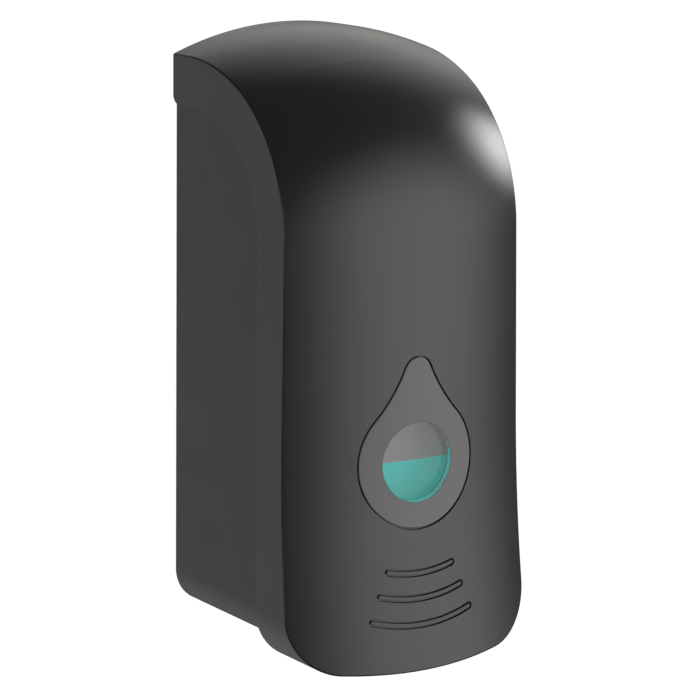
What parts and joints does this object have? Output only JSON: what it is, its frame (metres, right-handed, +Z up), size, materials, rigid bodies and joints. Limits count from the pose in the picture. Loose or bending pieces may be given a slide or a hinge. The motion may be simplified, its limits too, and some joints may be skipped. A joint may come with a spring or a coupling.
{
  "type": "wall mounted push soap dispenser",
  "caption": "Wall mounted push soap dispenser: bowed one-piece cover with a teardrop panel and round sight window, smile grooves, rear housing, tank, pump and nozzle.",
  "frame": {"origin": "on the wall plane, at the centre of the rectangle of four wall screws", "axes": "+Z up along the wall, +Y into the wall, the dispenser faces -Y"},
  "size_m": [0.1196, 0.1113, 0.2622],
  "materials": {
    "cover_plastic": "smooth satin moulding",
    "housing_plastic": "smooth satin moulding",
    "panel_plastic": "gloss inlay",
    "clear_lens": "clear polished",
    "tank_plastic": "translucent",
    "soap": "clear liquid",
    "white_plastic": "satin",
    "grey_plastic": "satin",
    "seal_rubber": "matt",
    "pale_silicone": "matt",
    "pad_rubber": "matt",
    "steel": "zinc plated",
    "spring_steel": "bright",
    "screw_steel": "bright",
    "chrome": "polished"
  },
  "bodies": {
    "base": {"rear_housing": "housing_plastic", "soap_tank": "tank_plastic", "liquid_soap": "soap", "filler_gasket": "seal_rubber", "pump_body": "white_plastic", "ball_cage": "white_plastic", "pump_gasket": "seal_rubber", "pump_nut": "white_plastic", "end_cap": "white_plastic", "nozzle": "grey_plastic", "outlet_valve": "seal_rubber", "pump_bracket": "steel", "bracket_screw_left": "screw_steel", "bracket_screw_right": "screw_steel", "lock_keeper": "steel", "keeper_screw": "screw_steel", "hinge_pin_left": "screw_steel", "hinge_pin_right": "screw_steel", "pump_spring": "spring_steel"},
    "swing_frame": {"carrier_frame": "steel", "pivot_pin_left": "screw_steel", "pivot_pin_right": "screw_steel"},
    "cover": {"front_cover": "cover_plastic", "drop_panel": "panel_plastic", "window_lens": "clear_lens", "lens_gasket": "pale_silicone", "lens_retainer": "white_plastic", "retainer_screw_1": "screw_steel", "retainer_screw_2": "screw_steel", "retainer_screw_3": "screw_steel", "press_block": "cover_plastic", "press_pad": "pad_rubber", "lock_body": "chrome", "lock_nut": "steel"},
    "lock": {"lock_barrel": "chrome", "lock_cam": "steel", "cam_screw": "screw_steel"},
    "plunger": {"plunger": "grey_plastic", "plunger_seal": "seal_rubber"},
    "inlet_valve": {"inlet_ball": "spring_steel"},
    "filler": {"filler_cap": "white_plastic"}
  },
  "joints": [
    {"name": "cover_open", "type": "hinge", "parent": "base", "child": "swing_frame", "pos_m": [0, -0.08, -0.125], "axis": [1, 0, 0], "range_deg": [0, 88]},
    {"name": "push", "type": "hinge", "parent": "swing_frame", "child": "cover", "pos_m": [0, -0.011, 0.109], "axis": [1, 0, 0], "range_deg": [0, 2], "stiffness_Nm_per_rad": 25, "springref_deg": -2.86},
    {"name": "lock_turn", "type": "hinge", "parent": "cover", "child": "lock", "pos_m": [0.05, -0.04, 0.106], "axis": [-1, 0, 0], "range_deg": [0, 90]},
    {"name": "plunger_slide", "type": "slide", "parent": "base", "child": "plunger", "axis": [0, 1, 0], "range_m": [0, 0.00715], "deforming": ["pump_spring"]},
    {"name": "valve_lift", "type": "slide", "parent": "base", "child": "inlet_valve", "axis": [0, 0, 1], "range_m": [0, 0.0015]},
    {"name": "cap_turn", "type": "hinge", "parent": "base", "child": "filler", "pos_m": [0, -0.036, 0.09], "axis": [0, 0, 1], "range_deg": [0, 90]}
  ],
  "couplings": [
    {"joint": "plunger_slide", "follows": "push", "m_per_rad": 0.205}
  ]
}
